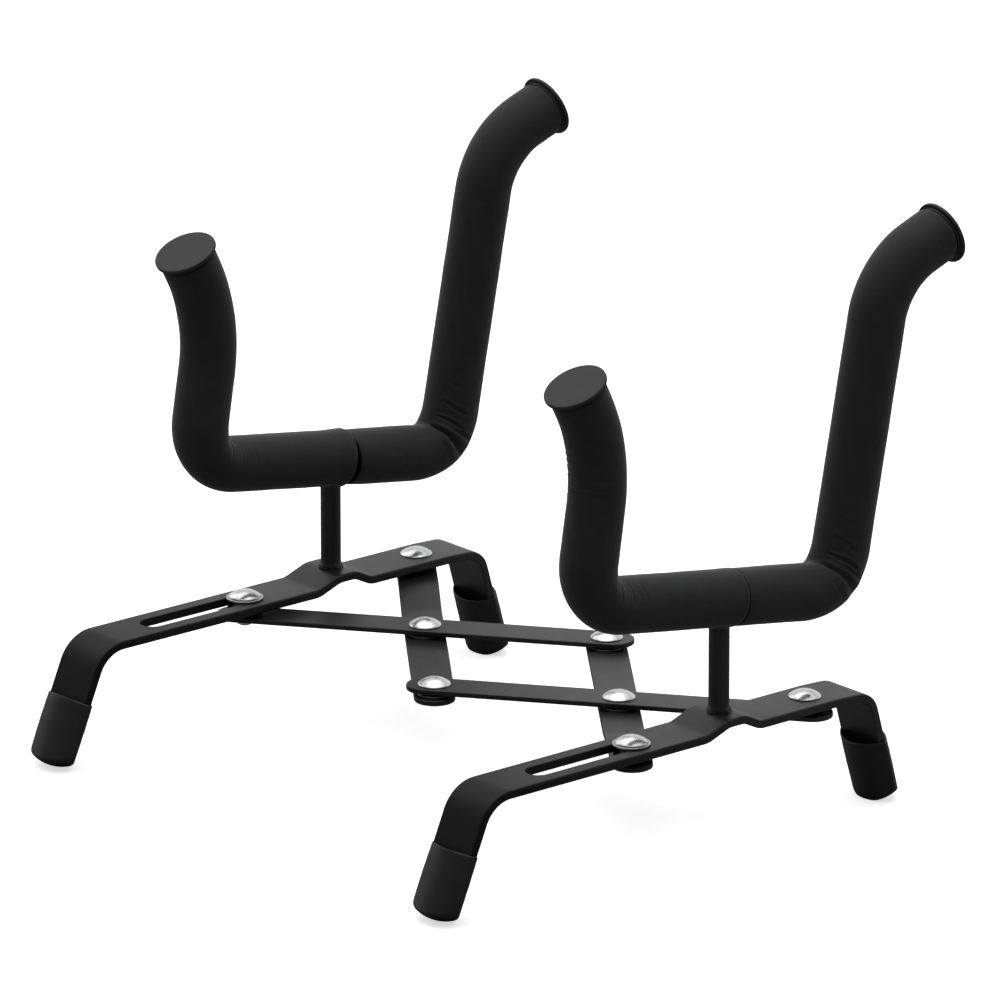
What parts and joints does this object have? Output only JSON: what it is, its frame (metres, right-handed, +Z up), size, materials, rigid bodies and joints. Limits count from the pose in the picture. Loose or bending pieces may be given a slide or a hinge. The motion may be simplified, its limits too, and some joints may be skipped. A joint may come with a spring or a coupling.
{
  "type": "folding guitar floor stand",
  "caption": "Folding floor rack for a guitar: foam-covered U cradles on bent steel strips with rubber feet, joined by a riveted scissor linkage.",
  "frame": {"origin": "on the floor, midway between the two stands and midway between the front and the back of the whole rack, fully open", "axes": "+X from the left stand to the right stand, +Y to the back (the side of the tall arms), +Z up"},
  "size_m": [0.288, 0.297, 0.2612],
  "materials": {
    "black_powder_coat": "satin black powder coat",
    "foam_sleeve": "matte closed-cell foam",
    "end_cap_plastic": "matte black moulded plastic",
    "foot_rubber": "satin black rubber",
    "bright_rivet": "polished nickel plate",
    "bright_washer": "zinc plated",
    "nylon_bush": "black nylon"
  },
  "bodies": {
    "left_stand": {"left_base_strip": "black_powder_coat", "left_post": "black_powder_coat", "left_cradle_rod": "black_powder_coat", "left_front_foam": "foam_sleeve", "left_rear_foam": "foam_sleeve", "left_front_end_cap": "end_cap_plastic", "left_rear_end_cap": "end_cap_plastic", "left_front_foot": "foot_rubber", "left_rear_foot": "foot_rubber", "left_rear_rivet": "bright_rivet", "left_rear_spacer": "nylon_bush"},
    "lower_left_bar": {"left_lower_link": "black_powder_coat", "left_cross_rivet": "bright_rivet", "left_cross_washer": "nylon_bush"},
    "upper_left_bar": {"left_upper_link": "black_powder_coat", "left_slot_rivet": "bright_rivet", "left_slot_washer": "bright_washer", "left_slot_bush": "nylon_bush", "left_slot_spacer": "nylon_bush", "rear_centre_rivet": "bright_rivet", "rear_centre_washer": "nylon_bush"},
    "upper_right_bar": {"right_upper_link": "black_powder_coat", "front_centre_rivet": "bright_rivet", "front_centre_washer": "nylon_bush", "right_cross_rivet": "bright_rivet", "right_cross_washer": "nylon_bush"},
    "lower_right_bar": {"right_lower_link": "black_powder_coat", "right_slot_rivet": "bright_rivet", "right_slot_washer": "bright_washer", "right_slot_bush": "nylon_bush", "right_slot_spacer": "nylon_bush"},
    "right_stand": {"right_base_strip": "black_powder_coat", "right_post": "black_powder_coat", "right_cradle_rod": "black_powder_coat", "right_front_foam": "foam_sleeve", "right_rear_foam": "foam_sleeve", "right_front_end_cap": "end_cap_plastic", "right_rear_end_cap": "end_cap_plastic", "right_front_foot": "foot_rubber", "right_rear_foot": "foot_rubber", "right_rear_rivet": "bright_rivet", "right_rear_spacer": "nylon_bush"}
  },
  "joints": [
    {"name": "fold", "type": "hinge", "parent": "left_stand", "child": "lower_left_bar", "pos_m": [-0.13, 0.06665, 0.045], "axis": [0, 0, -1], "range_deg": [0, 30]},
    {"name": "left_cross", "type": "hinge", "parent": "lower_left_bar", "child": "upper_left_bar", "pos_m": [-0.065, 0.01735, 0.045], "axis": [0, 0, 1], "range_deg": [0, 60]},
    {"name": "front_centre", "type": "hinge", "parent": "lower_left_bar", "child": "upper_right_bar", "pos_m": [0, -0.03195, 0.045], "axis": [0, 0, 1], "range_deg": [0, 60]},
    {"name": "right_cross", "type": "hinge", "parent": "upper_right_bar", "child": "lower_right_bar", "pos_m": [0.065, 0.01735, 0.045], "axis": [0, 0, -1], "range_deg": [0, 60]},
    {"name": "right_rear", "type": "hinge", "parent": "upper_right_bar", "child": "right_stand", "pos_m": [0.13, 0.06665, 0.045], "axis": [0, 0, -1], "range_deg": [0, 30]}
  ],
  "couplings": [
    {"joint": "left_cross", "follows": "fold", "ratio": 2},
    {"joint": "front_centre", "follows": "fold", "ratio": 2},
    {"joint": "right_cross", "follows": "fold", "ratio": 2},
    {"joint": "right_rear", "follows": "fold", "ratio": 1}
  ]
}
